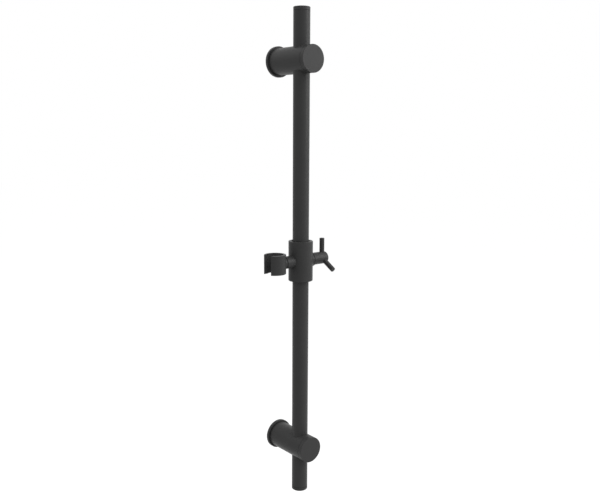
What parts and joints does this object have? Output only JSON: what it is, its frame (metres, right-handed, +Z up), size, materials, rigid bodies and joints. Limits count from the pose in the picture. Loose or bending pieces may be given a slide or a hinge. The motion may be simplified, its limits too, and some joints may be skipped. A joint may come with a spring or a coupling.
{
  "type": "shower slide rail",
  "caption": "Matt black round shower rail on wall brackets, with a slider that a rod knob clamps and a tilting clip for the handset.",
  "frame": {"origin": "on the wall plane, midway between the two wall fixings", "axes": "+Z up along the rail, +Y into the wall, so the rail stands in front of the wall towards -Y; +X towards the clamp knob"},
  "size_m": [0.0998, 0.0758, 0.658],
  "materials": {
    "black_metal": "matt black coating",
    "black_plastic": "matt black moulded plastic",
    "zinc": "plain zinc casting",
    "steel": "stainless screws and stud",
    "brass": "turned brass",
    "nylon": "natural nylon",
    "washer": "black friction plastic"
  },
  "bodies": {
    "frame": {"rail_tube": "black_metal", "top_end_cap": "black_plastic", "bottom_end_cap": "black_plastic", "upper_bracket": "black_metal", "lower_bracket": "black_metal", "upper_front_cap": "black_metal", "lower_front_cap": "black_metal", "upper_wall_rose": "black_metal", "lower_wall_rose": "black_metal", "upper_wall_stub": "zinc", "lower_wall_stub": "zinc", "upper_stub_screw": "steel", "lower_stub_screw": "steel", "upper_rail_screw": "steel", "lower_rail_screw": "steel"},
    "guides": {"upper_guide_bush": "black_plastic", "lower_guide_bush": "black_plastic"},
    "slider": {"slider_sleeve": "black_metal", "clamp_nut": "brass", "pivot_screw": "steel", "friction_washer": "washer"},
    "brake": {"brake_pad": "nylon"},
    "knob": {"knob_hub": "black_metal", "knob_rod_up": "black_metal", "knob_rod_front": "black_metal", "knob_rod_back": "black_metal", "clamp_stud": "steel"},
    "holder": {"handset_clip": "black_metal"}
  },
  "joints": [
    {"name": "slider_slide", "type": "slide", "parent": "frame", "child": "guides", "axis": [0, 0, 1], "range_m": [-0.217, 0.217]},
    {"name": "slider_swivel", "type": "hinge", "parent": "guides", "child": "slider", "pos_m": [0, -0.0505, 0], "axis": [0, 0, 1], "range_deg": [-45, 225]},
    {"name": "clamp_travel", "type": "slide", "parent": "slider", "child": "brake", "axis": [1, 0, 0], "range_m": [0, 0.00125]},
    {"name": "knob_turn", "type": "hinge", "parent": "brake", "child": "knob", "pos_m": [0.0316, -0.0505, 0], "axis": [1, 0, 0], "range_deg": [0, 360]},
    {"name": "holder_tilt", "type": "hinge", "parent": "slider", "child": "holder", "pos_m": [-0.03, -0.0505, 0], "axis": [1, 0, 0], "continuous": true}
  ],
  "couplings": [
    {"joint": "clamp_travel", "follows": "knob_turn", "m_per_rad": 0.00019894}
  ]
}
